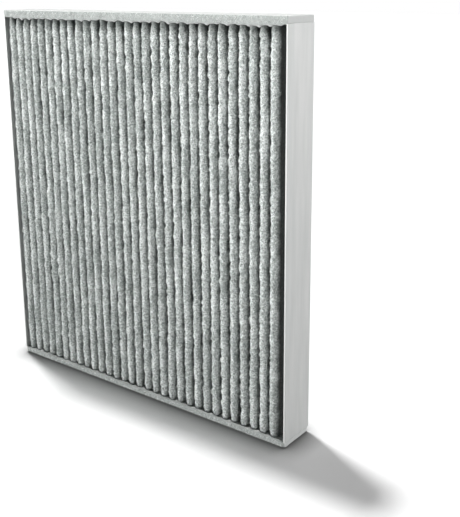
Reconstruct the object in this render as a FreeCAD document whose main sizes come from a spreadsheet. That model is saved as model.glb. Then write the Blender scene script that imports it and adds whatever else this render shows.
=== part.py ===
# Pleated cabin air filter, standing on the felt strip that closes the lower ends of its pleats.
#
# One sheet of thick non-woven medium is folded into upright pleats. A felt strip is bonded
# across the pleat ends above and below, and a thin stiff strip closes the pack on the left and
# on the right. A film of hot-melt adhesive lies between each felt strip and the pleat ends, and
# a flat line of it holds the outermost flap of the medium to each end strip.
#
# Frame: millimetres, origin at the centre of the underside, X across the pleats, -Y towards
# the face that the air enters, +Z up along the pleats.
import FreeCAD, Part
import Sketcher
import math
import os

# Driving dimensions: alias, value in millimetres (or a number of folds), what it measures
SIZES = [
    ("frame_width", 222.0, "across the pleats, outside the end strips"),
    ("frame_height", 240.0, "along the pleats, outside the felt strips"),
    ("frame_depth", 25.0, "from the face where air enters to the face where it leaves"),
    ("felt_thickness", 4.0, "felt strip over the pleat ends"),
    ("felt_corner_radius", 2.0, "upright corners of a felt strip"),
    ("felt_rim_bevel", 0.4, "rim of a felt strip's outer face, where the cut edge is worn soft"),
    ("end_strip_thickness", 1.0, "stiff strip beside the outermost pleat"),
    ("end_strip_edge_radius", 0.3, "outer upright edges of an end strip"),
    ("pleat_count", 31, "folds on the face where air enters"),
    ("medium_thickness", 1.7, "folded sheet"),
    ("fold_recess", 0.8, "from either face of the frame to the tips of the folds"),
    ("film_thickness", 0.4, "adhesive between a felt strip and the pleat ends"),
    ("film_margin", 0.3, "adhesive film beyond the tips of the folds"),
    ("glue_line_thickness", 0.2, "adhesive between the outermost flap and its end strip"),
    ("glue_line_width", 6.0, "that adhesive, along the depth"),
    ("glue_line_setback", 1.0, "from the free edge of the flap to that adhesive"),
]

# Places that several sub-parts share, worked out from the sizes
INSIDE_X = "(<<sizes>>.frame_width / 2 - <<sizes>>.end_strip_thickness)"
FLAP_X = f"({INSIDE_X} - <<sizes>>.glue_line_thickness)"
# A leg stands a quarter of the pitch beside the middle of its fold, and the outermost fold of
# the rear face lies half a pitch beyond the outermost fold of the front face
PITCH = f"((2 * {FLAP_X} - <<sizes>>.medium_thickness) / (<<sizes>>.pleat_count + 0.5))"
FIRST_FOLD_X = f"(-{PITCH} * (<<sizes>>.pleat_count - 1) / 2)"
OUTER_RADIUS = f"({PITCH} / 4 + <<sizes>>.medium_thickness / 2)"
INNER_RADIUS = f"({PITCH} / 4 - <<sizes>>.medium_thickness / 2)"
BEND_Y = f"(<<sizes>>.frame_depth / 2 - <<sizes>>.fold_recess - {OUTER_RADIUS})"
PACK_FOOT = "(<<sizes>>.felt_thickness + <<sizes>>.film_thickness)"
PACK_HEIGHT = f"(<<sizes>>.frame_height - 2 * {PACK_FOOT})"
TOP_FELT_FOOT = "(<<sizes>>.frame_height - <<sizes>>.felt_thickness)"

# Two heights closer than this are the same, in millimetres
SAME_HEIGHT = 1e-6


def make_sheet(doc):
    """The sheet that every sub-part reads its sizes from."""
    sheet = doc.addObject("Spreadsheet::Sheet", "sizes")
    sheet.Label = "sizes"
    for row, (alias, value, meaning) in enumerate(SIZES, start=1):
        sheet.set(f"A{row}", str(value))
        sheet.set(f"B{row}", meaning)
        sheet.setAlias(f"A{row}", alias)
    doc.recompute()
    return sheet


def make_body(doc, label):
    body = doc.addObject("PartDesign::Body", label)
    body.Label = label
    return body


def ground_sketch(body, name):
    """An empty sketch on the body's own horizontal plane."""
    plane = next(f for f in body.Origin.OriginFeatures if f.Role == "XY_Plane")
    sketch = body.newObject("Sketcher::SketchObject", name)
    sketch.AttachmentSupport = [(plane, "")]
    sketch.MapMode = "FlatFace"
    return sketch


def bind(sketch, name, expression, constraint):
    """Adds a dimension to the sketch and ties it to the sheet."""
    index = sketch.addConstraint(constraint)
    sketch.renameConstraint(index, name)
    sketch.setExpression(f"Constraints.{name}", expression)


def raise_pad(body, sketch, name, height_expression):
    pad = body.newObject("PartDesign::Pad", name)
    pad.Profile = sketch
    pad.setExpression("Length", height_expression)
    return pad


def draw_rectangle(sketch, width_expression, depth_expression):
    """A rectangle centred on the sketch's origin. It is drawn as a square, and its two
    dimensions then stretch it to size."""
    corners = [
        FreeCAD.Vector(-1, -1),
        FreeCAD.Vector(1, -1),
        FreeCAD.Vector(1, 1),
        FreeCAD.Vector(-1, 1),
    ]
    for start, end in zip(corners, corners[1:] + corners[:1]):
        sketch.addGeometry(Part.LineSegment(start, end))
    for side in range(4):
        sketch.addConstraint(Sketcher.Constraint("Coincident", side, 2, (side + 1) % 4, 1))
        direction = "Vertical" if side % 2 else "Horizontal"
        sketch.addConstraint(Sketcher.Constraint(direction, side))
    sketch.addConstraint(Sketcher.Constraint("Symmetric", 0, 1, 1, 2, -1, 1))
    bind(sketch, "width", width_expression, Sketcher.Constraint("DistanceX", 0, 1, 0, 2, 2.0))
    bind(sketch, "depth", depth_expression, Sketcher.Constraint("DistanceY", 1, 1, 1, 2, 2.0))


def ease_edges(doc, body, base, kind, name, size, size_expression, wanted):
    """Rounds or bevels the edges of base that the test picks. kind is Fillet, whose size is
    its Radius, or Chamfer, whose size is its Size."""
    doc.recompute()
    edges = [f"Edge{i}" for i, edge in enumerate(base.Shape.Edges, start=1) if wanted(edge)]
    feature = body.newObject(f"PartDesign::{kind}", name)
    feature.Base = (base, edges)
    feature.setExpression(size, size_expression)
    return feature


def is_upright(edge):
    box = edge.BoundBox
    return box.ZLength > box.XLength + box.YLength


def felt_strip(doc, label, foot, outer_height):
    """The felt strip over the pleat ends. outer_height is where, in the strip's own frame,
    its outer face lies, and the rim of that face is bevelled."""
    body = make_body(doc, label)
    outline = ground_sketch(body, f"{label}_outline")
    draw_rectangle(outline, "<<sizes>>.frame_width", "<<sizes>>.frame_depth")
    slab = raise_pad(body, outline, f"{label}_slab", "<<sizes>>.felt_thickness")
    radius = "<<sizes>>.felt_corner_radius"
    corners = ease_edges(
        doc, body, slab, "Fillet", f"{label}_corners", "Radius", radius, is_upright
    )

    def on_outer_rim(edge):
        box = edge.BoundBox
        return box.ZLength < SAME_HEIGHT and abs(box.ZMin - outer_height) < SAME_HEIGHT

    bevel = "<<sizes>>.felt_rim_bevel"
    ease_edges(doc, body, corners, "Chamfer", f"{label}_rim", "Size", bevel, on_outer_rim)
    body.setExpression("Placement.Base.z", foot)
    return body


def end_strip(doc, label, side):
    """The stiff strip beside the outermost pleat, between the felt strips. side is -1 on the
    left and 1 on the right."""
    body = make_body(doc, label)
    outline = ground_sketch(body, f"{label}_outline")
    draw_rectangle(outline, "<<sizes>>.end_strip_thickness", "<<sizes>>.frame_depth")
    height = "<<sizes>>.frame_height - 2 * <<sizes>>.felt_thickness"
    slab = raise_pad(body, outline, f"{label}_slab", height)

    def on_outer_face(edge):
        return is_upright(edge) and side * edge.BoundBox.Center.x > 0

    radius = "<<sizes>>.end_strip_edge_radius"
    ease_edges(doc, body, slab, "Fillet", f"{label}_edges", "Radius", radius, on_outer_face)
    middle = f"{side} * ({INSIDE_X} + <<sizes>>.end_strip_thickness / 2)"
    body.setExpression("Placement.Base.x", middle)
    body.setExpression("Placement.Base.z", "<<sizes>>.felt_thickness")
    return body


def glue_film(doc, label, foot):
    """The hot-melt adhesive between a felt strip and the pleat ends."""
    body = make_body(doc, label)
    outline = ground_sketch(body, f"{label}_outline")
    depth = "<<sizes>>.frame_depth - 2 * (<<sizes>>.fold_recess - <<sizes>>.film_margin)"
    draw_rectangle(outline, f"2 * {INSIDE_X}", depth)
    raise_pad(body, outline, f"{label}_layer", "<<sizes>>.film_thickness")
    body.setExpression("Placement.Base.z", foot)
    return body


def glue_line(doc, label, side):
    """The hot-melt adhesive between the outermost flap and its end strip."""
    body = make_body(doc, label)
    outline = ground_sketch(body, f"{label}_outline")
    draw_rectangle(outline, "<<sizes>>.glue_line_thickness", "<<sizes>>.glue_line_width")
    raise_pad(body, outline, f"{label}_layer", PACK_HEIGHT)
    middle = f"{side} * ({FLAP_X} + <<sizes>>.glue_line_thickness / 2)"
    body.setExpression("Placement.Base.x", middle)
    flap_middle = "<<sizes>>.glue_line_setback + <<sizes>>.glue_line_width / 2"
    body.setExpression("Placement.Base.y", flap_middle)
    body.setExpression("Placement.Base.z", PACK_FOOT)
    return body


def draw_bend(sketch, facing, outer, inner, bend_y):
    """The section of one fold: a round bend and its two legs, which end square in the middle
    plane of the pack. facing is -1 for a fold at the front and 1 for one at the rear.
    outer, inner and bend_y say roughly where to draw it."""
    middle = FreeCAD.Vector(0, facing * bend_y)
    first_angle = math.pi if facing < 0 else 0.0
    for radius in (outer, inner):
        circle = Part.Circle(middle, FreeCAD.Vector(0, 0, 1), radius)
        sketch.addGeometry(Part.ArcOfCircle(circle, first_angle, first_angle + math.pi))
    outer_bend, inner_bend = 0, 1
    next_line = 2
    # An arc runs anticlockwise, so it starts on the left at the front and on the right behind
    for side, arc_end in ((facing, 1), (-facing, 2)):
        feet = []
        for bend, radius in ((outer_bend, outer), (inner_bend, inner)):
            top = FreeCAD.Vector(side * radius, facing * bend_y)
            sketch.addGeometry(Part.LineSegment(top, FreeCAD.Vector(side * radius, 0)))
            sketch.addConstraint(Sketcher.Constraint("Tangent", bend, arc_end, next_line, 1))
            sketch.addConstraint(Sketcher.Constraint("PointOnObject", next_line, 2, -1))
            feet.append(next_line)
            next_line += 1
        start = FreeCAD.Vector(side * outer, 0)
        sketch.addGeometry(Part.LineSegment(start, FreeCAD.Vector(side * inner, 0)))
        sketch.addConstraint(Sketcher.Constraint("Coincident", feet[0], 2, next_line, 1))
        sketch.addConstraint(Sketcher.Constraint("Coincident", feet[1], 2, next_line, 2))
        for leg_face in feet:
            sketch.addConstraint(Sketcher.Constraint("Vertical", leg_face))
        next_line += 1
    sketch.addConstraint(Sketcher.Constraint("Coincident", outer_bend, 3, inner_bend, 3))
    sketch.addConstraint(Sketcher.Constraint("PointOnObject", outer_bend, 3, -2))
    bind(sketch, "outer_radius", OUTER_RADIUS, Sketcher.Constraint("Radius", outer_bend, outer))
    bind(sketch, "inner_radius", INNER_RADIUS, Sketcher.Constraint("Radius", inner_bend, inner))
    lower, upper = ((-1, 1), (outer_bend, 3)) if facing > 0 else ((outer_bend, 3), (-1, 1))
    height = Sketcher.Constraint("DistanceY", *lower, *upper, bend_y)
    bind(sketch, "bend_y", BEND_Y, height)


def pleated_medium(doc, sheet, label):
    """The folded sheet. Front and rear folds take turns along X, and the sheet begins and
    ends with a rear fold, whose outer leg is the flap that is glued to the end strip."""
    body = make_body(doc, label)
    outer, inner, bend_y = (
        sheet.evalExpression(place) for place in (OUTER_RADIUS, INNER_RADIUS, BEND_Y)
    )

    def bend(name, facing, x_expression):
        section = ground_sketch(body, f"{name}_section")
        draw_bend(section, facing, outer, inner, bend_y)
        section.setExpression("AttachmentOffset.Base.x", x_expression)
        return section, raise_pad(body, section, name, PACK_HEIGHT)

    first_rear = f"{FIRST_FOLD_X} - {PITCH} / 2"
    last_rear = f"-{FIRST_FOLD_X} + {PITCH} / 2"
    section, front_bend = bend("front_bend", -1, FIRST_FOLD_X)
    rear_bend = bend("rear_bend", 1, first_rear)[1]
    folds = body.newObject("PartDesign::LinearPattern", "folds")
    folds.Originals = [front_bend, rear_bend]
    folds.Direction = (section, ["H_Axis"])
    folds.setExpression("Length", f"{PITCH} * (<<sizes>>.pleat_count - 1)")
    folds.setExpression("Occurrences", "<<sizes>>.pleat_count")
    body.Tip = folds
    bend("last_rear_bend", 1, last_rear)
    body.setExpression("Placement.Base.z", PACK_FOOT)
    return body


def check(doc, bodies):
    """Stops if a feature failed or a sub-part is not one sound solid."""
    for item in doc.Objects:
        if "Invalid" in item.State or "Error" in item.State:
            raise RuntimeError(f"{item.Name} failed: {item.State}")
    for body in bodies:
        shape = body.Shape
        if shape.isNull() or not shape.isValid() or len(shape.Solids) != 1:
            raise RuntimeError(f"{body.Label} is not one valid solid")


def main():
    doc = FreeCAD.newDocument("cabin_air_filter")
    sheet = make_sheet(doc)
    bodies = [
        pleated_medium(doc, sheet, "pleated_medium"),
        felt_strip(doc, "top_felt_strip", TOP_FELT_FOOT, sheet.felt_thickness),
        felt_strip(doc, "bottom_felt_strip", "0", 0.0),
        end_strip(doc, "left_end_strip", -1),
        end_strip(doc, "right_end_strip", 1),
        glue_film(doc, "top_glue_film", f"<<sizes>>.frame_height - {PACK_FOOT}"),
        glue_film(doc, "bottom_glue_film", "<<sizes>>.felt_thickness"),
        glue_line(doc, "left_glue_line", -1),
        glue_line(doc, "right_glue_line", 1),
    ]
    doc.recompute()
    check(doc, bodies)
    os.makedirs("parts", exist_ok=True)
    for body in bodies:
        shape = body.Shape
        shape.exportStep(f"parts/{body.Label}.step")
        box = shape.optimalBoundingBox()
        print(
            f"{body.Label}: {shape.Volume:.0f} mm3, {len(shape.Faces)} faces, "
            f"{box.XLength:.2f} x {box.YLength:.2f} x {box.ZLength:.2f} mm"
        )


main()
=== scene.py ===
# %% [markdown]
# # A pleated cabin air filter
#
# The filter is one sheet of thick, fuzzy non-woven, folded into upright pleats. A strip of
# felt is glued over the pleat ends above and below, and a thin smooth strip closes the pack
# on the left and on the right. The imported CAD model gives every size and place. This script
# adds what CAD leaves out: the lumpy cloth, the soft felt, the surfaces and the light.

# %% Load the frame
import math

import bmesh
import bpy
import numpy as np
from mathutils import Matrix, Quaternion, Vector, noise


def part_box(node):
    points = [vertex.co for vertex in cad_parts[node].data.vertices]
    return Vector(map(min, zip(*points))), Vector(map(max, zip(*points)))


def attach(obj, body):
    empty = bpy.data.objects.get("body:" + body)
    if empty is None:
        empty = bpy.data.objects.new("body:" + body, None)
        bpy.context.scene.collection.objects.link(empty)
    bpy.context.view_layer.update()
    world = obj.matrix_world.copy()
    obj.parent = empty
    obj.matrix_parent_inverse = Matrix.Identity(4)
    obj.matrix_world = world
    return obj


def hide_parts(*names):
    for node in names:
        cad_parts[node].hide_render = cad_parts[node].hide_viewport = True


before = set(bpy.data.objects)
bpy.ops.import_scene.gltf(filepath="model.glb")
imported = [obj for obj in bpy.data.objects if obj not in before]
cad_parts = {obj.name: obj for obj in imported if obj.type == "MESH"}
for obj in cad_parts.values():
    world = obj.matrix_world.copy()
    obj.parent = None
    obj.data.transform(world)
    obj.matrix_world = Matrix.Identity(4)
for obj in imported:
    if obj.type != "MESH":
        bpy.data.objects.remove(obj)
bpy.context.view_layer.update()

MM = 0.001

# %% [markdown]
# ## The camera
#
# The camera stands to the right of the filter, a little above its top edge, so that the right
# end strip and a sliver of the top show beside the pleats. A photographer keeps the upright
# edges nearly parallel by shifting the lens rather than tilting the camera, so part of the
# downward look is a shift. It stays small, because other views keep it too.

# %% Camera
PHOTO_SIZE = (460, 517)
SENSOR_WIDTH = 36.0
FOCAL_PIXELS = 850.0
CAMERA_PLACE = Vector((348.8, -373.1, 256.1)) * MM
LOOK_AZIMUTH = math.radians(-37.34)
LOOK_ELEVATION = math.radians(-13.57)
ROLL = math.radians(0.42)
AXIS_ABOVE_MIDDLE = 70.5  # pixels from the middle of the picture up to the lens's own axis

camera_data = bpy.data.cameras.new("camera")
camera = bpy.data.objects.new("camera", camera_data)
bpy.context.scene.collection.objects.link(camera)
bpy.context.scene.camera = camera
camera_data.sensor_width = SENSOR_WIDTH
camera_data.lens = FOCAL_PIXELS * SENSOR_WIDTH / max(PHOTO_SIZE)
camera_data.shift_y = -AXIS_ABOVE_MIDDLE / max(PHOTO_SIZE)
look = Vector(
    (
        math.sin(LOOK_AZIMUTH) * math.cos(LOOK_ELEVATION),
        math.cos(LOOK_AZIMUTH) * math.cos(LOOK_ELEVATION),
        math.sin(LOOK_ELEVATION),
    )
)
camera.location = CAMERA_PLACE
camera.rotation_mode = "QUATERNION"
camera.rotation_quaternion = Quaternion(look, ROLL) @ look.to_track_quat("-Z", "Y")
print("lens", round(camera_data.lens, 1), "mm, shift", round(camera_data.shift_y, 3))

# %% [markdown]
# ## Small helpers
#
# Colours are written as the sRGB hex values that a colour picker shows, and Cycles wants them
# linear. One function adds any shader node, sets its properties and fills or links its
# inputs, so that a material reads as a short list of what it is made of. A Mix node of
# colours takes its factor at input 0 and its colours at 6 and 7, and gives them at output 2.

# %% Helpers for colours, nodes and materials


def colour(hex_value):
    """An sRGB hex colour as linear red, green, blue and alpha."""
    parts = [int(hex_value[i : i + 2], 16) / 255 for i in (1, 3, 5)]
    linear = [c / 12.92 if c <= 0.04045 else ((c + 0.055) / 1.055) ** 2.4 for c in parts]
    return (*linear, 1.0)


def add(tree, kind, inputs=None, **settings):
    """Adds a node. settings are its properties, and inputs are values or sockets to link."""
    node = tree.nodes.new(kind)
    for name, value in settings.items():
        setattr(node, name, value)
    for name, value in (inputs or {}).items():
        if isinstance(value, bpy.types.NodeSocket):
            tree.links.new(value, node.inputs[name])
        else:
            node.inputs[name].default_value = value
    return node


def new_material(name):
    """An empty material, with its node tree."""
    material = bpy.data.materials.new(name)
    material.use_nodes = True
    material.node_tree.nodes.clear()
    return material, material.node_tree


print("table white, linear:", [round(c, 3) for c in colour("#F4F4F4")[:3]])

# %% [markdown]
# ## The white table
#
# The filter stands on a white table. It could be lit until it is white, but that would burn
# out the pale strips as well. So the paint is nearly white to the camera and greyer to the
# light that it throws back at the filter, and a trace of its own light does the rest.
#
# Where a thing stands on a table, the last millimetres of table are dark, because light can't
# get in there. An ambient occlusion node finds how open each spot of the table is, and the
# paint is darker where the filter is close. What the eye gets is a plain white ground with a
# thin dark line at the filter's foot.

# %% Floor
FLOOR_SIZE = 12.0
FLOOR_GLOW = 0.01
FLOOR_TO_CAMERA = colour("#F4F4F4")
FLOOR_TO_OBJECT = colour("#787878")
FLOOR_AT_FOOT = colour("#8C8C8C")
FOOT_SHADE_REACH = 16 * MM
OPEN_AT_A_WALL = 0.5  # a tall wall hides half the sky from the spot at its foot


def seen_directly(tree):
    """1 for light that reaches the camera straight, in a mirror or through glass, else 0."""
    rays = add(tree, "ShaderNodeLightPath")
    seen = rays.outputs["Is Camera Ray"]
    for other in ("Is Glossy Ray", "Is Transmission Ray"):
        either = add(tree, "ShaderNodeMath", {0: seen, 1: rays.outputs[other]}, operation="MAXIMUM")
        seen = either.outputs[0]
    return seen


half = FLOOR_SIZE / 2
corners = [(-half, -half, 0), (half, -half, 0), (half, half, 0), (-half, half, 0)]
floor_mesh = bpy.data.meshes.new("floor")
floor_mesh.from_pydata(corners, [], [(0, 1, 2, 3)])
floor = bpy.data.objects.new("floor", floor_mesh)
bpy.context.scene.collection.objects.link(floor)

white_table, tree = new_material("white_table")
seen = seen_directly(tree)
openness = add(tree, "ShaderNodeAmbientOcclusion", {"Distance": FOOT_SHADE_REACH}, samples=16)
away = add(
    tree, "ShaderNodeMapRange", {"Value": openness.outputs["AO"], "From Min": OPEN_AT_A_WALL}
)
to_camera = add(
    tree,
    "ShaderNodeMix",
    {0: away.outputs["Result"], 6: FLOOR_AT_FOOT, 7: FLOOR_TO_CAMERA},
    data_type="RGBA",
)
paint = add(
    tree,
    "ShaderNodeMix",
    {0: seen, 6: FLOOR_TO_OBJECT, 7: to_camera.outputs[2]},
    data_type="RGBA",
)
diffuse = add(tree, "ShaderNodeBsdfDiffuse", {"Color": paint.outputs[2]})
glow = add(tree, "ShaderNodeMath", {0: seen, 1: FLOOR_GLOW}, operation="MULTIPLY")
emission = add(tree, "ShaderNodeEmission", {"Strength": glow.outputs[0]})
both = add(tree, "ShaderNodeAddShader", {0: diffuse.outputs[0], 1: emission.outputs[0]})
add(tree, "ShaderNodeOutputMaterial", {"Surface": both.outputs[0]})
floor_mesh.materials.append(white_table)
print("floor:", FLOOR_SIZE, "m across, darker within", round(FOOT_SHADE_REACH / MM), "mm")

# %% [markdown]
# ## The light
#
# The room is white to the camera and nearly dark to the filter. Six sun lamps light it, and
# each has a disc some degrees across, so that its shadows are soft. Two hang high, one of them
# a little to the left and behind. They light the top and the table, leave the front in shade,
# and throw the shadow forward and to the right.
#
# The other four stand exactly at the height of the table, so that they light the upright faces
# and leave that shadow dark. The left one grazes the pleats: each gets a bright left side and
# a dark right one. The front one fills them, the right one lights the end strip, and the back
# one lights the rear folds.

# %% World
WORLD_STRENGTH = 0.07

world = bpy.data.worlds.new("studio")
bpy.context.scene.world = world
world.use_nodes = True
tree = world.node_tree
tree.nodes.clear()
room = add(
    tree,
    "ShaderNodeMapRange",
    {"Value": seen_directly(tree), "To Min": WORLD_STRENGTH, "To Max": 1.0},
)
background = add(
    tree, "ShaderNodeBackground", {"Color": colour("#FFFFFF"), "Strength": room.outputs[0]}
)
add(tree, "ShaderNodeOutputWorld", {"Surface": background.outputs[0]})
bpy.context.scene.view_settings.view_transform = "Standard"
print("world:", WORLD_STRENGTH, "to the filter and 1 to the camera")

# %% Lamps
LAMPS = {
    # name: strength, direction that it shines from, degrees across
    "behind_left": (2.6, (-0.30, 0.11, 1.0), 5.5),
    "above": (0.7, (0.0, 0.04, 1.0), 8),
    "left": (4.7, (-0.84, -0.54, 0.0), 8),
    "front": (3.4, (-0.05, -1.0, 0.0), 8),
    "right": (3.15, (0.95, 0.3, 0.0), 20),
    "back": (2.7, (0.3, 0.95, 0.0), 20),
}

for name, (strength, direction, degrees) in LAMPS.items():
    lamp_data = bpy.data.lights.new(name, "SUN")
    lamp_data.energy = strength
    lamp_data.angle = math.radians(degrees)
    lamp = bpy.data.objects.new(name, lamp_data)
    lamp.rotation_mode = "QUATERNION"
    lamp.rotation_quaternion = Vector(direction).to_track_quat("Z", "Y")
    bpy.context.scene.collection.objects.link(lamp)
print("lamps:", ", ".join(LAMPS))

# %% [markdown]
# ## The folded sheet
#
# The medium is one thick sheet of fluffy polyester fibres with carbon between them. It is
# folded to and fro, and each fold is a round bend, because the sheet is too thick to crease.
# A cloth simulation could fold it, but the folding machine does it evenly, so the section is
# worked out: bends and legs. Only the outside of a bend can be seen well. So its columns of
# points are close together and the rest, deep in the folds, has a quarter of the rows.

# %% Sizes of the section
FRONT_FOLDS = 31
BENDS = 2 * FRONT_FOLDS + 1
SHEET = 1.7 * MM

pack_low, pack_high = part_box("pleated_medium")
pitch = (pack_high.x - pack_low.x - SHEET) / (FRONT_FOLDS + 0.5)
outer_radius = pitch / 4 + SHEET / 2
inner_radius = pitch / 4 - SHEET / 2
bend_y = pack_high.y - outer_radius


def bend_middle(bend):
    """Where the middle of a bend is in plan. The first bend, and every second one, is behind."""
    facing = 1 if bend % 2 == 0 else -1
    return pack_low.x + outer_radius + bend * pitch / 2, facing * bend_y, facing


print(f"pitch {pitch / MM:.3f} mm, bend radii {outer_radius / MM:.2f} and {inner_radius / MM:.2f}")

# %% Columns of points along the section
OUTER_STEPS = 7
INNER_STEPS = 2
LEG_STATION = 4.0 * MM  # how far before the bend a leg has one more column


def skin_columns(front_skin):
    """The columns of one side of the sheet, from the left flap to the right one.

    A column is its bend, its x and y, its outward normal, and whether all its rows are used."""
    columns = []
    for bend in range(BENDS):
        middle_x, middle_y, facing = bend_middle(bend)
        outer = (facing < 0) == front_skin
        radius, steps, sign = (
            (outer_radius, OUTER_STEPS, 1) if outer else (inner_radius, INNER_STEPS, -1)
        )
        station = [bend_y - LEG_STATION] if outer else []
        for y in ([0.0] if bend == 0 else []) + station:
            columns.append((bend, middle_x - radius, facing * y, -sign, 0.0, False))
        for step in range(steps + 1):
            angle = math.pi * (1 - step / steps)
            nx, ny = math.cos(angle), facing * math.sin(angle)
            columns.append(
                (bend, middle_x + radius * nx, middle_y + radius * ny, sign * nx, sign * ny, outer)
            )
        for y in station + ([0.0] if bend == BENDS - 1 else []):
            columns.append((bend, middle_x + radius, facing * y, sign, 0.0, False))
    return columns


front_columns = skin_columns(front_skin=True)
rear_columns = skin_columns(front_skin=False)
print("columns of points:", len(front_columns) + len(rear_columns))

# %% [markdown]
# ## Lumps and wobbles
#
# Real pleats are never straight. Each fold wanders a little to the side and in depth, and it
# is lumpy, because the fibres lie in clumps and tufts. Its ends are pinched where the glue
# holds them, and further along above than below. All the front folds lean a little to the
# left, which opens a dark gap beside the right end strip. Sculpting could do this by hand, but
# 63 bends are many. So the pinch and the lean are formulas, and each of the rest is a smooth
# noise with its own length and a fixed seed.

# %% How far the sheet strays
SLIM = 0.22 * MM  # how far the skin lies inside the CAD sheet, to leave room for its lumps
WANDER = 0.5 * MM
WANDER_LENGTH = 34 * MM
WANDER_IN_DEPTH = 0.6  # share of the wander that also goes in and out
KINK = 0.15 * MM
KINK_LENGTH = 7 * MM
CLUMP = 0.38 * MM
CLUMP_LENGTH = 3.4 * MM
TUFT = 0.85 * MM
TUFT_LENGTH = 1.8 * MM
LUMPS_IN_THE_DEEP = 0.3  # share of the lumps that is left halfway through the pack
PINCH = 0.3  # share of its width that a fold loses at its glued ends
PINCH_LENGTH = 2.2 * MM
PINCH_LENGTH_ABOVE = 3.8 * MM
TIP_RETREAT = 0.7 * MM  # how far a pinched tip draws back
GLUED_LENGTH = 1.2 * MM  # from an end, and the sheet can't stray within it
LEAN = 2.4 * MM  # at the front tips, fading to nothing at the rear ones


def smooth_noise(point, length, seed):
    """Noise from about -0.7 to 0.7 that changes over that length. The seed shifts it away."""
    return noise.noise(Vector(point) / length + Vector((seed * 17.3, seed * 5.1, seed * 9.7)))


def settle(bend, x, y, nx, ny, z, proud=0.0):
    """Where a point of the ideal fold lies on the real, lumpy one, raised by proud."""
    middle_x, middle_y, facing = bend_middle(bend)
    if (bend == 0 and x < middle_x) or (bend == BENDS - 1 and x > middle_x):
        return (x + nx * proud, y + ny * proud, z)  # the flaps that are glued to the end strips
    to_end = min(z - pack_low.z, pack_high.z - z)
    upper_half = z > (pack_low.z + pack_high.z) / 2
    pinch = math.exp(-to_end / (PINCH_LENGTH_ABOVE if upper_half else PINCH_LENGTH))
    free = 1 - math.exp(-to_end / GLUED_LENGTH)
    reach = min(1.0, abs(y) / bend_y)
    past_middle = max(0.0, facing * (y - middle_y)) / outer_radius
    held = min(1.0, min(bend, BENDS - 1 - bend) / 2)
    lean = LEAN * min(1.0, max(0.0, 0.5 - 0.5 * y / bend_y))
    # The bend's number goes in as metres, far enough for each bend to have noise of its own
    side = WANDER * smooth_noise((bend * 1.7, 0, z), WANDER_LENGTH, 1)
    side += KINK * smooth_noise((bend * 1.7, 3, z), KINK_LENGTH, 2)
    deep = WANDER_IN_DEPTH * WANDER * smooth_noise((bend * 2.3, 7, z), WANDER_LENGTH, 3)
    lump = CLUMP * smooth_noise((x, y, z), CLUMP_LENGTH, 4) - SLIM * reach
    lump += TUFT * smooth_noise((x, y, z), TUFT_LENGTH, 5)
    lump = lump * free * (LUMPS_IN_THE_DEEP + (1 - LUMPS_IN_THE_DEEP) * reach) + proud
    return (
        middle_x
        + (x - middle_x) * (1 - PINCH * pinch)
        + nx * lump
        + held * free * reach * side
        - lean,
        y - facing * TIP_RETREAT * pinch * past_middle + ny * lump + free * past_middle * deep,
        z,
    )


tip = Vector(settle(1, bend_middle(1)[0], -pack_high.y, 0, -1, 0.12))
print("second bend's tip in mm:", [round(c / MM, 2) for c in tip])

# %% [markdown]
# ## Rows and faces
#
# The section is raised into a sheet by repeating every column of points up the height. Between
# a column with all its rows and one with a quarter of them, the faces are small fans, so that
# the mesh has no hole. Both skins are joined at the ends, and the sheet is closed all round.

# %% Raise the section into a lumpy sheet
COARSE_ROWS = 40
ROWS_PER_COARSE = 4

heights = np.linspace(pack_low.z, pack_high.z, COARSE_ROWS * ROWS_PER_COARSE + 1)


def lay_columns(columns, points):
    """Adds the points of the columns and returns each column's point numbers."""
    numbers = []
    for bend, x, y, nx, ny, fine in columns:
        chosen = heights if fine else heights[::ROWS_PER_COARSE]
        numbers.append(list(range(len(points), len(points) + len(chosen))))
        points += [settle(bend, x, y, nx, ny, z) for z in chosen]
    return numbers


def join_columns(left, right, turned):
    """Faces between two neighbouring columns, which may have different numbers of rows."""
    faces = []
    if len(left) == len(right):
        faces = [(a, b, d, c) for a, b, c, d in zip(left, right, left[1:], right[1:])]
    else:
        fine, coarse = (left, right) if len(left) > len(right) else (right, left)
        half_way = ROWS_PER_COARSE // 2
        for j in range(COARSE_ROWS):
            low, high = coarse[j], coarse[j + 1]
            run = fine[j * ROWS_PER_COARSE : (j + 1) * ROWS_PER_COARSE + 1]
            fans = [(low, a, b) for a, b in zip(run[:half_way], run[1 : half_way + 1])]
            fans.append((low, run[half_way], high))
            fans += [(high, a, b) for a, b in zip(run[half_way:-1], run[half_way + 1 :])]
            faces += fans if fine is right else [fan[::-1] for fan in fans]
    return [face[::-1] for face in faces] if turned else faces


def new_piece(name, points, faces):
    """A smooth-shaded mesh object in the scene."""
    mesh = bpy.data.meshes.new(name)
    mesh.from_pydata([tuple(p) for p in points], [], faces)
    mesh.polygons.foreach_set("use_smooth", [True] * len(mesh.polygons))
    piece = bpy.data.objects.new(name, mesh)
    bpy.context.scene.collection.objects.link(piece)
    return piece


def triangles(piece):
    """How many triangles a piece has once its faces are split."""
    return sum(len(face.vertices) - 2 for face in piece.data.polygons)


points = []
front = lay_columns(front_columns, points)
rear = lay_columns(rear_columns, points)
faces = []
for skin, turned in ((front, False), (rear, True)):
    for left, right in zip(skin, skin[1:]):
        faces += join_columns(left, right, turned)
faces.append([column[0] for column in rear] + [column[0] for column in reversed(front)])
faces.append([column[-1] for column in front] + [column[-1] for column in reversed(rear)])
faces += join_columns(rear[0], front[0], turned=False)
faces += join_columns(front[-1], rear[-1], turned=False)
medium = new_piece("folded_medium", points, faces)
print("medium:", triangles(medium), "triangles")

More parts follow.
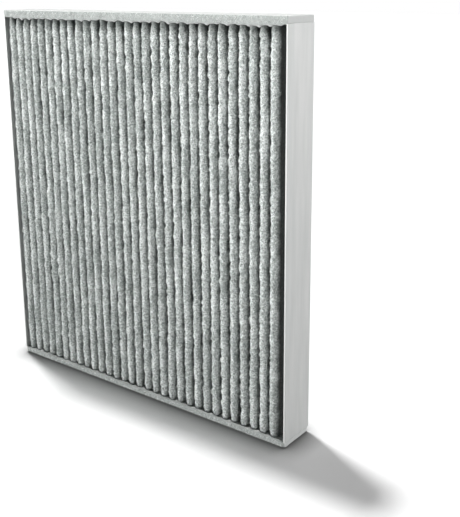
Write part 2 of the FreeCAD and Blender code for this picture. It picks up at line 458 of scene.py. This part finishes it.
# %% [markdown]
# ## Loose fibres
#
# The fibres of a fluffy sheet don't all lie in it. Loops and loose ends stand off the folds,
# and they make the edges of the pleats soft and their faces speckled. Hair curves would
# do it too, but plain meshes export to any program. So each loop is a thin spindle of twelve
# triangles that starts in the sheet, arches over it and dips in again. Single fibres are too
# fine to show, so each spindle is as thick as a bundle of them.

# %% A scatter of fibre loops
LOOP_DIP = 0.08 * MM
LOOP_CREST = 0.35  # share of the half length at which a loop is at its full height


def spindle(path, radius, points, faces):
    """Adds one loop that starts and ends in a point and has three sides between."""
    along = (path[2][0] - path[1][0]).normalized()
    start = len(points)
    points.append(path[0][0])
    for place, normal in path[1:3]:
        across = along.cross(normal).normalized()
        for third in range(3):
            angle = math.radians(90 + 120 * third)
            points.append(place + radius * (math.sin(angle) * normal + math.cos(angle) * across))
    points.append(path[3][0])
    for third in range(3):
        a, b = start + 1 + third, start + 1 + (third + 1) % 3
        faces += [(start, a, b), (a, a + 3, b + 3, b), (start + 7, b + 3, a + 3)]


def fibre_loops(name, count, sizes, choose, seed):
    """Scattered loops of fibre. choose(dice) gives one loop's surface and its middle on it.

    A surface turns two lengths along it and a height over it into a point and its normal.
    sizes are the least and greatest length, lift and radius."""
    lengths, lifts, radii = sizes
    dice = np.random.default_rng(seed)
    points, faces = [], []
    for _ in range(count):
        surface, across_at, up_at = choose(dice)
        slant = dice.uniform(0, math.pi)
        half_length = dice.uniform(*lengths) / 2
        lift = dice.uniform(*lifts)
        radius = dice.uniform(*radii)
        step_across, step_up = math.cos(slant), math.sin(slant)
        arch = ((-1, -LOOP_DIP), (-LOOP_CREST, lift), (LOOP_CREST, lift), (1, -LOOP_DIP))
        path = [
            surface(
                across_at + t * half_length * step_across, up_at + t * half_length * step_up, proud
            )
            for t, proud in arch
        ]
        spindle(path, radius, points, faces)
    return new_piece(name, points, faces)


sample_path = [(Vector((t, 0, 0)), Vector((0, 0, 1))) for t in range(4)]
sample_faces = []
spindle(sample_path, 0.1, [], sample_faces)
print("triangles in a loop:", sum(len(face) - 2 for face in sample_faces))

# %% Loose fibres on the folds
LOOPS_PER_SIDE = 16000
LOOP_SIZES = ((1.2 * MM, 4.4 * MM), (0.02 * MM, 0.5 * MM), (0.04 * MM, 0.09 * MM))
LOOP_SPREAD = math.radians(82)  # to either side of a fold's tip
LOOP_MARGINS = (2 * MM, 4.5 * MM)  # below and above, where the glue holds the fibres down
LOOP_SEED = 11


def fold_point(bend, swing, z, proud):
    """A point on the outside of a bend, swing round from its tip, and its normal."""
    middle_x, middle_y, facing = bend_middle(bend)
    nx, ny = math.sin(swing), facing * math.cos(swing)
    x, y = middle_x + outer_radius * nx, middle_y + outer_radius * ny
    return Vector(settle(bend, x, y, nx, ny, z, proud)), Vector((nx, ny, 0))


def on_folds(bends):
    """Chooses places on the outsides of those bends."""

    def choose(dice):
        bend = bends[dice.integers(len(bends))]
        swing = dice.uniform(-LOOP_SPREAD, LOOP_SPREAD)
        z = dice.uniform(pack_low.z + LOOP_MARGINS[0], pack_high.z - LOOP_MARGINS[1])

        def surface(arc, up, proud):
            return fold_point(bend, arc / outer_radius, up, proud)

        return surface, swing * outer_radius, z

    return choose


front_bends = list(range(1, BENDS, 2))
rear_bends = list(range(0, BENDS, 2))
naps = [
    fibre_loops("front_nap", LOOPS_PER_SIDE, LOOP_SIZES, on_folds(front_bends), LOOP_SEED),
    fibre_loops("rear_nap", LOOPS_PER_SIDE, LOOP_SIZES, on_folds(rear_bends), LOOP_SEED + 1),
]
for piece in naps:
    print(piece.name, triangles(piece), "triangles")

# %% [markdown]
# ## The felt strips
#
# A strip of needled felt lies over the pleat ends above and below. Felt is cut with a knife,
# so its edge is fibrous and never quite straight, and where the warm glue pulls it, a lip
# rises towards the pleats, highest between one pleat and the next. The lower strip's foot
# curls in a little, so that it stands on less than its full depth. A box with a displace
# modifier would swell everywhere alike, so rings of points are laid round the strip instead,
# from the middle of one face over the edge to the middle of the other, and pushed about.

# %% Rings round a felt strip
FELT_STEP = 0.9 * MM  # between one point and the next along a side
CORNER_STEPS = 4


def rounded_contour(low, high, corner, inset):
    """Points round a rectangle with round corners, moved in by the inset.

    The number of points doesn't depend on the inset, so that rings can be joined."""
    radius = max(corner - inset, 0.0)
    across = max((high.x - low.x) / 2 - inset - radius, 0.0)
    along = max((high.y - low.y) / 2 - inset - radius, 0.0)
    full_across = (high.x - low.x) / 2 - corner
    full_along = (high.y - low.y) / 2 - corner
    middle = ((low.x + high.x) / 2, (low.y + high.y) / 2)
    signs = ((1, -1), (1, 1), (-1, 1), (-1, -1))
    points = []
    for index, (sx, sy) in enumerate(signs):
        start = math.radians(-90 + 90 * index)
        for step in range(CORNER_STEPS + 1):
            angle = start + math.radians(90) * step / CORNER_STEPS
            points.append(
                (sx * across + radius * math.cos(angle), sy * along + radius * math.sin(angle))
            )
        side = full_along if index % 2 == 0 else full_across
        count = round(2 * side / FELT_STEP)
        next_sx, next_sy = signs[(index + 1) % len(signs)]
        end = (next_sx * across, next_sy * along)
        out = ((radius, 0), (0, radius), (-radius, 0), (0, -radius))[index]
        for step in range(1, count):
            t = step / count
            points.append(
                (
                    sx * across + (end[0] - sx * across) * t + out[0],
                    sy * along + (end[1] - sy * along) * t + out[1],
                )
            )
    return [(middle[0] + x, middle[1] + y) for x, y in points]


FELT_RIM = 0.5 * MM
FELT_FOOT = 1.7 * MM  # height of the lower strip's curled foot
# How far in the rings on a flat face lie: shares of the half depth, and then two lengths
FACE_SHARES = (1, 0.75, 0.5, 0.3)
FACE_INSETS = (2.4 * MM, 1.2 * MM)
RIM_CUT = 0.3  # how much of a rim is cut edge
EDGE_CUT = 0.6  # how much more of it is, one rim's height further up
UPPER_BEVEL = (0.12 * MM, FELT_RIM * 0.3, 0.8)  # how far in, how far down, how much cut edge
# How far in and how high each ring of a strip's lower edge lies
FELT_UNDERCUT = (
    (2.4 * MM, 0.0), (2.2 * MM, 0.6 * MM), (0.9 * MM, 0.8 * MM), (0.2 * MM, 1.15 * MM)
)
FELT_ROUNDING = ((0.5 * MM, 0.0), (0.25 * MM, 0.07 * MM), (0.07 * MM, 0.25 * MM))


def felt_rings(low, high, upper):
    """How far in each ring lies, its height, and how much of it is cut edge."""
    half_depth = (high.y - low.y) / 2
    insets = [half_depth * share for share in FACE_SHARES] + list(FACE_INSETS)
    lower_edge = FELT_ROUNDING if upper else FELT_UNDERCUT
    foot = FELT_RIM if upper else FELT_FOOT
    # The face's rings end before the edge's begin, or the skin would fold back on itself
    rings = [(inset, low.z, 0.0) for inset in insets if inset > lower_edge[0][0] + 0.1 * MM]
    for inset, rise in lower_edge:
        rings.append((inset, low.z + rise, RIM_CUT + min(EDGE_CUT, rise / FELT_RIM)))
    for t in (0, 0.25, 0.5, 0.75, 1):
        rings.append((0.0, low.z + foot + t * (high.z - low.z - foot - FELT_RIM), 1.0))
    inset, drop, cut_share = UPPER_BEVEL
    rings += [(inset, high.z - drop, cut_share), (FELT_RIM, high.z, RIM_CUT)]
    return rings + [(inset, high.z, 0.0) for inset in reversed(insets)]


print("rings:", [len(felt_rings(*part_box("top_felt_strip"), upper)) for upper in (True, False)])

# %% Felt strips
FELT_CORNER = 2.0 * MM
FELT_CORNER_ABOVE = 0.8 * MM
FELT_FLUFF = 0.16 * MM
FELT_FLUFF_LENGTH = 2.0 * MM
COARSE_FLUFF = (0.8, 4)  # a second fluff's strength and length, as multiples of the first's
CALM_FLUFF = 0.5  # share of the fluff on the short ends and on the flat faces
UNDERSIDE_FLUFF = 0.2
FLUFF_DRAWN_IN = 0.4  # how far a cut face draws back, as a share of the fluff
FELT_LIP = 1.6 * MM
FELT_SWELL = 0.9 * MM  # how much higher the lip is between two pleats
FELT_SWELL_REACH = 1.1 * MM
LIP_EVENNESS = (0.8, 0.7)  # the lip's share that is always there, and what noise adds or takes
LIP_NOISE_LENGTH = 5 * MM
LIP_STARTS = 1.5 * MM  # from a strip's end
LIP_RISES_OVER = 5 * MM
WELD = 0.02 * MM  # points closer than this become one


def fray(x, y, z, inset, side, low, high, upper, corner):
    """Where a point of the plain strip lies on the frayed and swollen one."""
    middle_y = (low.y + high.y) / 2
    fluff = FELT_FLUFF * smooth_noise((x, y, z), FELT_FLUFF_LENGTH, 5)
    strength, length = COARSE_FLUFF
    fluff += FELT_FLUFF * strength * smooth_noise((x, y, z), FELT_FLUFF_LENGTH * length, 6)
    out_x = 1.0 if x > high.x - corner else -1.0 if x < low.x + corner else 0.0
    out_y = 1.0 if y > middle_y else -1.0
    wave = math.cos(2 * math.pi * x / pitch)
    between = max(0.0, wave if y > middle_y else -wave)
    near_edge = math.exp(-max(inset, 0.0) / FELT_SWELL_REACH)
    from_end = min(x - low.x, high.x - x)
    within = min(1.0, max(0.0, (from_end - LIP_STARTS) / LIP_RISES_OVER))
    by_the_pleats = abs(z - (low.z if upper else high.z)) < FELT_RIM * 0.5
    swell = (FELT_LIP + FELT_SWELL * between) * near_edge * within if by_the_pleats else 0.0
    swell *= LIP_EVENNESS[0] + LIP_EVENNESS[1] * smooth_noise((x, y, 0), LIP_NOISE_LENGTH, 7)
    outwards = 1 if z > (low.z + high.z) / 2 else -1
    face_fluff = outwards * fluff * CALM_FLUFF * (1 - side)
    if not upper and abs(z - low.z) < 1e-6:
        face_fluff = abs(face_fluff) * UNDERSIDE_FLUFF  # nothing may sink into the table
    return (
        x + out_x * side * fluff * CALM_FLUFF,
        y + out_y * side * fluff - out_y * side * FELT_FLUFF * FLUFF_DRAWN_IN,
        z + (-swell if upper else swell) + face_fluff,
    )


def felt_piece(name, node, upper):
    """A felt strip fitted to its CAD node. upper says that the pleats are below it."""
    low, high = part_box(node)
    corner = FELT_CORNER_ABOVE if upper else FELT_CORNER
    rings = felt_rings(low, high, upper)
    points, faces = [], []
    for inset, z, side in rings:
        contour = rounded_contour(low, high, corner, inset)
        points += [fray(x, y, z, inset, side, low, high, upper, corner) for x, y in contour]
    count = len(contour)
    for j in range(len(rings) - 1):
        for i in range(count):
            k = (i + 1) % count
            faces.append((j * count + i, j * count + k, (j + 1) * count + k, (j + 1) * count + i))
    piece = new_piece(name, points, faces)
    work = bmesh.new()
    work.from_mesh(piece.data)
    bmesh.ops.remove_doubles(work, verts=work.verts, dist=WELD)
    bmesh.ops.holes_fill(work, edges=[edge for edge in work.edges if edge.is_boundary])
    bmesh.ops.recalc_face_normals(work, faces=work.faces)
    work.to_mesh(piece.data)
    work.free()
    piece.data.polygons.foreach_set("use_smooth", [True] * len(piece.data.polygons))
    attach(piece, "root")
    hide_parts(node)
    print(name, "triangles:", triangles(piece))
    return piece


felts = [
    felt_piece("upper_felt", "top_felt_strip", upper=True),
    felt_piece("lower_felt", "bottom_felt_strip", upper=False),
]

# %% [markdown]
# ## Loose fibres of the felt
#
# A knife leaves cut fibre ends standing off the long edges of the felt. A displaced edge would
# only be bumpy, so the same loops are scattered there too: shorter, finer and nearly flat.
# They keep off the lower strip's foot, which curls in, and off the upper strip's top edge.

# %% Loose fibres on the felt's cut edges
CUT_LOOPS = 5000
CUT_LOOP_SIZES = ((0.8 * MM, 2.4 * MM), (0.02 * MM, 0.22 * MM), (0.03 * MM, 0.05 * MM))
CUT_LOOP_SEED = 21
TOP_EDGE_MARGIN = 0.3 * MM
FOOT_MARGIN = 1.2 * MM


def on_cut_edges(node, low_margin, high_margin):
    """Chooses places on the long cut faces of a felt strip."""
    low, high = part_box(node)

    def choose(dice):
        facing = 1.0 if dice.uniform() < 0.5 else -1.0
        x = dice.uniform(low.x + FELT_CORNER, high.x - FELT_CORNER)
        z = dice.uniform(low.z + low_margin, high.z - high_margin)

        def surface(along, up, proud):
            up = min(max(up, low.z + low_margin), high.z - high_margin)
            y = high.y + proud if facing > 0 else low.y - proud
            return Vector((along, y, up)), Vector((0, facing, 0))

        return surface, x, z

    return choose


above = on_cut_edges("top_felt_strip", 0, TOP_EDGE_MARGIN)
below = on_cut_edges("bottom_felt_strip", FOOT_MARGIN, 0)
felt_naps = [
    fibre_loops("upper_felt_nap", CUT_LOOPS, CUT_LOOP_SIZES, above, CUT_LOOP_SEED),
    fibre_loops("lower_felt_nap", CUT_LOOPS, CUT_LOOP_SIZES, below, CUT_LOOP_SEED + 1),
]
for piece in felt_naps:
    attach(piece, "root")
    print(piece.name, triangles(piece), "triangles")

# %% [markdown]
# ## Non-woven polyester with carbon
#
# The medium is carded polyester fleece, thermally bonded, with carbon grains inside that
# turn its white to grey. It scatters light evenly and has no gloss. What the eye gets is a
# speckle of fibre clumps, paler on their tops and darker in the hollows between them, with
# grains showing through. A photograph of fleece would bring its own light and its seams, so
# the pattern is noise in the object's own millimetres.
#
# The density of the fibres is the mean of round clumps and of strands drawn out along three
# slants. It is worked out once, because it gives both the tone and the bump.

# %% How densely the fibres lie
CLUMP_MM = 1.2
STRAND_MM = (0.25, 2.0)  # across and along, far coarser than a real 0.03 mm fibre
STRAND_SLANTS = (20, 75, -50)


def per_metre(size_mm):
    """The Scale that gives a texture features of that size, in object coordinates."""
    return 1 / (size_mm * MM)


fleece, tree = new_material("carbon_loaded_polyester_fleece")
place = add(tree, "ShaderNodeTexCoord").outputs["Object"]
clumps = add(
    tree,
    "ShaderNodeTexNoise",
    {"Vector": place, "Scale": per_metre(CLUMP_MM), "Detail": 3.0, "Roughness": 0.6},
)
strands = []
for slant in STRAND_SLANTS:
    turned = add(
        tree,
        "ShaderNodeMapping",
        {
            "Vector": place,
            "Rotation": (0.0, math.radians(slant), 0.0),
            "Scale": (STRAND_MM[0] * MM, STRAND_MM[0] * MM, STRAND_MM[1] * MM),
        },
        vector_type="TEXTURE",
    )
    lying = add(
        tree,
        "ShaderNodeTexNoise",
        {"Vector": turned.outputs[0], "Scale": 1.0, "Detail": 2.0, "Roughness": 0.5},
    )
    strands.append(lying.outputs["Fac"])
total = strands[0]
for strand in strands[1:]:
    total = add(tree, "ShaderNodeMath", {0: total, 1: strand}, operation="ADD").outputs[0]
mean_strand = add(
    tree, "ShaderNodeMath", {0: total, 1: 1 / len(strands)}, operation="MULTIPLY"
)
with_clumps = add(
    tree, "ShaderNodeMath", {0: clumps.outputs["Fac"], 1: mean_strand.outputs[0]}, operation="ADD"
)
density = add(tree, "ShaderNodeMath", {0: with_clumps.outputs[0], 1: 0.5}, operation="MULTIPLY")
print("fibres:", CLUMP_MM, "mm clumps, and strands of", STRAND_MM, "mm on", len(strands), "slants")

# %% [markdown]
# No fold is quite as grey as the next, because the sheet is never even. So the tone is
# shifted a little from patch to patch, about a fold wide each, before it is spread from grey
# to nearly white. Carbon grains show where a second, finer noise is low.

# %% Tone of the fleece
FLEECE_PALE = colour("#F4F8F6")
FLEECE_MID = colour("#9FA7A4")
FLEECE_GRAIN = colour("#6A706E")
PATCH_MM = (7, 16)  # across and up a fold
PATCH_SHIFT = 0.09
GRAIN_MM = 0.7  # a real grain is about 0.4 mm, which is finer than a pixel here

drawn = add(
    tree,
    "ShaderNodeMapping",
    {
        "Vector": place,
        "Scale": (per_metre(PATCH_MM[0]), per_metre(PATCH_MM[0]), per_metre(PATCH_MM[1])),
    },
)
patches = add(
    tree, "ShaderNodeTexNoise", {"Vector": drawn.outputs[0], "Scale": 1.0, "Detail": 1.0}
)
shift = add(
    tree,
    "ShaderNodeMapRange",
    {"Value": patches.outputs["Fac"], "To Min": -PATCH_SHIFT, "To Max": PATCH_SHIFT},
)
patchy = add(
    tree, "ShaderNodeMath", {0: density.outputs[0], 1: shift.outputs["Result"]}, operation="ADD"
)
pale = add(
    tree, "ShaderNodeMapRange", {"Value": patchy.outputs[0], "From Min": 0.43, "From Max": 0.57}
)
body = add(
    tree,
    "ShaderNodeMix",
    {0: pale.outputs["Result"], 6: FLEECE_MID, 7: FLEECE_PALE},
    data_type="RGBA",
)
pits = add(
    tree,
    "ShaderNodeTexNoise",
    {"Vector": place, "Scale": per_metre(GRAIN_MM), "Detail": 2.0, "Roughness": 0.6},
)
grain = add(
    tree,
    "ShaderNodeMapRange",
    {"Value": pits.outputs["Fac"], "From Min": 0.46, "From Max": 0.36, "To Max": 0.8},
)
speckled = add(
    tree,
    "ShaderNodeMix",
    {0: grain.outputs["Result"], 6: body.outputs[2], 7: FLEECE_GRAIN},
    data_type="RGBA",
)
print("patches of", PATCH_MM, "mm and grains of", GRAIN_MM, "mm")

# %% [markdown]
# Deep in the folds little light comes back. So the tone falls to nearly black there, from the
# outside of a bend inwards: painted shade in the hollows of the folds. It falls too in the last
# millimetres under the upper felt: painted shade for the felt's overhang, which the lamps here
# don't cast. Both follow the place on the object, so they hold from every side.

# %% Painted shade inside the folds and under the upper felt
# Painted shade: these two dark tones stand for shade, not for the fleece's own colour
FLEECE_PAINTED_SHADE_UNDER_FELT = colour("#4A504E")
FLEECE_PAINTED_SHADE_INSIDE = colour("#262B29")
SHADE_UNDER_FELT_FROM = pack_high.z - 8 * MM
SHADE_UNDER_FELT_TO = pack_high.z - 2 * MM
SHADE_INSIDE_FROM = bend_y + 1.0 * MM
SHADE_INSIDE_TO = bend_y - 1.6 * MM

axes = add(tree, "ShaderNodeSeparateXYZ", {"Vector": place})
painted_shade_under_felt = add(
    tree,
    "ShaderNodeMapRange",
    {
        "Value": axes.outputs["Z"],
        "From Min": SHADE_UNDER_FELT_FROM,
        "From Max": SHADE_UNDER_FELT_TO,
        "To Max": 0.75,
    },
)
# painted shade under the upper felt's overhang
shaded_under_felt = add(
    tree,
    "ShaderNodeMix",
    {0: painted_shade_under_felt.outputs["Result"], 6: speckled.outputs[2], 7: FLEECE_PAINTED_SHADE_UNDER_FELT},
    data_type="RGBA",
)
depth = add(tree, "ShaderNodeMath", {0: axes.outputs["Y"]}, operation="ABSOLUTE")
# painted shade deep in the folds, from the outside of a bend inwards
painted_shade_inside = add(
    tree,
    "ShaderNodeMapRange",
    {"Value": depth.outputs[0], "From Min": SHADE_INSIDE_FROM, "From Max": SHADE_INSIDE_TO, "To Max": 0.98},
)
tone = add(
    tree,
    "ShaderNodeMix",
    {0: painted_shade_inside.outputs["Result"], 6: shaded_under_felt.outputs[2], 7: FLEECE_PAINTED_SHADE_INSIDE},
    data_type="RGBA",
)
print(f"dark from {SHADE_INSIDE_FROM / MM:.1f} to {SHADE_INSIDE_TO / MM:.1f} mm off the middle")

# %% [markdown]
# The clumps are raised, so the density drives a bump too. Displacement would need many more
# triangles, and the outline of the folds has its lumps already. The fibres scatter light all
# ways, hence the roughness, and the sheen gives the pale edge that fuzz shows at a slant.

# %% Surface of the fleece
bump = add(
    tree,
    "ShaderNodeBump",
    {"Height": density.outputs[0], "Strength": 0.9, "Distance": 2.2 * MM},
)
surface = add(
    tree,
    "ShaderNodeBsdfPrincipled",
    {
        "Base Color": tone.outputs[2],
        "Roughness": 0.95,
        "Specular IOR Level": 0.2,
        "Sheen Weight": 0.3,
        "Sheen Roughness": 0.5,
        "Normal": bump.outputs["Normal"],
    },
)
add(tree, "ShaderNodeOutputMaterial", {"Surface": surface.outputs[0]})
medium.data.materials.append(fleece)
print(fleece.name, "on", medium.name)

# %% [markdown]
# ## Loose polyester fibres
#
# The fibres that stand off the fleece and the felt are white polyester, and a bundle of them
# is nearly matt. What the eye gets is pale hairlines on the folds and a soft outline. Carbon
# dust greys some of them. A random tone for each fibre would look like salt and pepper, so the
# dust lies in drifts a few millimetres wide.

# %% Material of the loose fibres
FIBRE_WHITE = colour("#F6F9F7")
FIBRE_GREY = colour("#C9D0CD")
FIBRE_DRIFT_MM = 2.5

loose_fibres, tree = new_material("white_polyester_surface_fibres")
place = add(tree, "ShaderNodeTexCoord").outputs["Object"]
drift = add(
    tree,
    "ShaderNodeTexNoise",
    {"Vector": place, "Scale": per_metre(FIBRE_DRIFT_MM), "Detail": 2.0},
)
clean = add(
    tree,
    "ShaderNodeMapRange",
    {"Value": drift.outputs["Fac"], "From Min": 0.4, "From Max": 0.6},
)
tone = add(
    tree,
    "ShaderNodeMix",
    {0: clean.outputs["Result"], 6: FIBRE_GREY, 7: FIBRE_WHITE},
    data_type="RGBA",
)
surface = add(
    tree,
    "ShaderNodeBsdfPrincipled",
    {"Base Color": tone.outputs[2], "Roughness": 0.7, "Sheen Weight": 0.3},
)
add(tree, "ShaderNodeOutputMaterial", {"Surface": surface.outputs[0]})
for piece in naps + felt_naps:
    piece.data.materials.append(loose_fibres)
    print(loose_fibres.name, "on", piece.name)

# %% [markdown]
# ## Needled felt
#
# The felt is white polyester, matted together by barbed needles. What the eye gets is a soft,
# matt white with a faint mottle from the needling. Its long cut faces, front and back, are
# greyer: partly the cut fibre ends, and partly painted shade for upright faces that stand in
# shade. Its short ends have about the end strips' tone.
# The three could be separate materials, but then each edge between them would be a hard line.
# So the tone follows the way that the surface faces, and goes over softly.

# %% Tone of the felt
FELT_WHITE = colour("#DFE0DF")
FELT_SHADE = colour("#CFD2D0")
# The two cut tones are partly the cut fibre ends and partly painted shade on the upright faces
FELT_CUT_AND_PAINTED_SHADE = colour("#A8ACAA")
FELT_CUT_AND_PAINTED_SHADE_DARK = colour("#949896")
FELT_END = colour("#CFD1D0")
MOTTLE_MM = 1.5  # between one needle mark and the next

felt_material, tree = new_material("needled_polyester_felt")
place = add(tree, "ShaderNodeTexCoord")
mottle = add(
    tree,
    "ShaderNodeTexNoise",
    {
        "Vector": place.outputs["Object"],
        "Scale": per_metre(MOTTLE_MM),
        "Detail": 4.0,
        "Roughness": 0.65,
    },
)
raised = add(
    tree,
    "ShaderNodeMapRange",
    {"Value": mottle.outputs["Fac"], "From Min": 0.35, "From Max": 0.6},
)
facing = add(tree, "ShaderNodeSeparateXYZ", {"Vector": place.outputs["Normal"]})
flat_on = add(tree, "ShaderNodeMath", {0: facing.outputs["Y"]}, operation="ABSOLUTE")
# faces towards front or back get the greyer tone: partly cut fibre ends, partly painted shade
cut_and_painted_shade = add(
    tree,
    "ShaderNodeMapRange",
    {"Value": flat_on.outputs[0], "From Min": 0.35, "From Max": 0.75},
)
hollows = add(
    tree,
    "ShaderNodeMix",
    {0: cut_and_painted_shade.outputs["Result"], 6: FELT_SHADE, 7: FELT_CUT_AND_PAINTED_SHADE_DARK},
    data_type="RGBA",
)
tops = add(
    tree,
    "ShaderNodeMix",
    {0: cut_and_painted_shade.outputs["Result"], 6: FELT_WHITE, 7: FELT_CUT_AND_PAINTED_SHADE},
    data_type="RGBA",
)
mottled = add(
    tree,
    "ShaderNodeMix",
    {0: raised.outputs["Result"], 6: hollows.outputs[2], 7: tops.outputs[2]},
    data_type="RGBA",
)
end_on = add(tree, "ShaderNodeMath", {0: facing.outputs["X"]}, operation="ABSOLUTE")
end = add(
    tree,
    "ShaderNodeMapRange",
    {"Value": end_on.outputs[0], "From Min": 0.5, "From Max": 0.8},
)
tone = add(
    tree,
    "ShaderNodeMix",
    {0: end.outputs["Result"], 6: mottled.outputs[2], 7: FELT_END},
    data_type="RGBA",
)
print("felt mottle:", MOTTLE_MM, "mm")

# %% [markdown]
# Needling holds the fibres down. So the felt is as rough as the fleece, but its bump is lower,
# and there is hardly any fuzz for a sheen. It could share the fleece's surface, but then it
# would look as fluffy as the folds.

# %% Surface of the felt
bump = add(
    tree,
    "ShaderNodeBump",
    {"Height": mottle.outputs["Fac"], "Strength": 0.4, "Distance": 0.6 * MM},
)
surface = add(
    tree,
    "ShaderNodeBsdfPrincipled",
    {
        "Base Color": tone.outputs[2],
        "Roughness": 0.95,
        "Specular IOR Level": 0.1,
        "Sheen Weight": 0.04,
        "Normal": bump.outputs["Normal"],
    },
)
add(tree, "ShaderNodeOutputMaterial", {"Surface": surface.outputs[0]})


def dress(piece, material):
    """Gives an object that one material in every slot. A mesh without a slot gets one."""
    if not piece.material_slots:
        piece.data.materials.append(material)
    for slot in piece.material_slots:
        slot.link = "OBJECT"
        slot.material = material
    print(material.name, "on", piece.name)


for piece in felts:
    dress(piece, felt_material)

# %% [markdown]
# ## Calendered fleece
#
# The end strips are a stiff polyester fleece that hot rollers have pressed smooth. What the eye
# gets is a plain, pale face with a weak gloss, and faint upright streaks where the rollers ran.
# Stripes from a wave texture would be too regular, so noise is drawn out upwards: each streak is
# a few millimetres wide and some centimetres long.

# %% Material of the end strips
STRIP_WHITE = colour("#C9CAC9")
STRIP_SHADE = colour("#BFC1C0")
STREAK_MM = (4, 45)  # across and up

strip_material, tree = new_material("calendered_stiff_fleece")
place = add(tree, "ShaderNodeTexCoord").outputs["Object"]
drawn = add(
    tree,
    "ShaderNodeMapping",
    {
        "Vector": place,
        "Scale": (per_metre(STREAK_MM[0]), per_metre(STREAK_MM[0]), per_metre(STREAK_MM[1])),
    },
)
streaks = add(
    tree,
    "ShaderNodeTexNoise",
    {"Vector": drawn.outputs[0], "Scale": 1.0, "Detail": 4.0, "Roughness": 0.55},
)
pale = add(
    tree,
    "ShaderNodeMapRange",
    {"Value": streaks.outputs["Fac"], "From Min": 0.35, "From Max": 0.65},
)
tone = add(
    tree,
    "ShaderNodeMix",
    {0: pale.outputs["Result"], 6: STRIP_SHADE, 7: STRIP_WHITE},
    data_type="RGBA",
)
surface = add(
    tree,
    "ShaderNodeBsdfPrincipled",
    {"Base Color": tone.outputs[2], "Roughness": 0.6, "IOR": 1.5},
)
add(tree, "ShaderNodeOutputMaterial", {"Surface": surface.outputs[0]})
for node in ("left_end_strip", "right_end_strip"):
    dress(bpy.data.objects[node], strip_material)

# %% [markdown]
# ## Hot-melt glue
#
# The pleat ends and the outermost flaps are held by hot-melt glue, squeezed out thin between
# the pieces. It is milky and lets some light in, which takes a little subsurface scattering,
# since real transparency would show the felt behind it. Its grey, darker in spots, is painted
# shade for the shaded gaps between the folds' ends. What the eye gets is a dull, spotted grey
# with a satin gloss between the folds.

# %% Material of the glue
GLUE_MILKY = colour("#9EA3A1")
# painted shade: the darker spots stand in for the shade between the folds' ends
GLUE_PAINTED_SHADE = colour("#565C5A")
SHADE_SPOT_MM = 2.2

glue_material, tree = new_material("hot_melt_glue_with_painted_shade")
place = add(tree, "ShaderNodeTexCoord").outputs["Object"]
spots = add(
    tree,
    "ShaderNodeTexNoise",
    {"Vector": place, "Scale": per_metre(SHADE_SPOT_MM), "Detail": 3.0},
)
painted_shade_spots = add(
    tree,
    "ShaderNodeMapRange",
    {"Value": spots.outputs["Fac"], "From Min": 0.4, "From Max": 0.6},
)
# painted shade, laid on in spots
tone = add(
    tree,
    "ShaderNodeMix",
    {0: painted_shade_spots.outputs["Result"], 6: GLUE_MILKY, 7: GLUE_PAINTED_SHADE},
    data_type="RGBA",
)
surface = add(
    tree,
    "ShaderNodeBsdfPrincipled",
    {
        "Base Color": tone.outputs[2],
        "Roughness": 0.35,
        "IOR": 1.48,
        "Subsurface Weight": 0.4,
        "Subsurface Radius": (1.0 * MM, 1.0 * MM, 0.9 * MM),
    },
)
add(tree, "ShaderNodeOutputMaterial", {"Surface": surface.outputs[0]})
for node in ("top_glue_film", "bottom_glue_film", "left_glue_line", "right_glue_line"):
    dress(bpy.data.objects[node], glue_material)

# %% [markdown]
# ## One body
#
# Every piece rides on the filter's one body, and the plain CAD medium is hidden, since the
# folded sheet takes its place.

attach(medium, "root")
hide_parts("pleated_medium")
for piece in naps:
    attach(piece, "root")
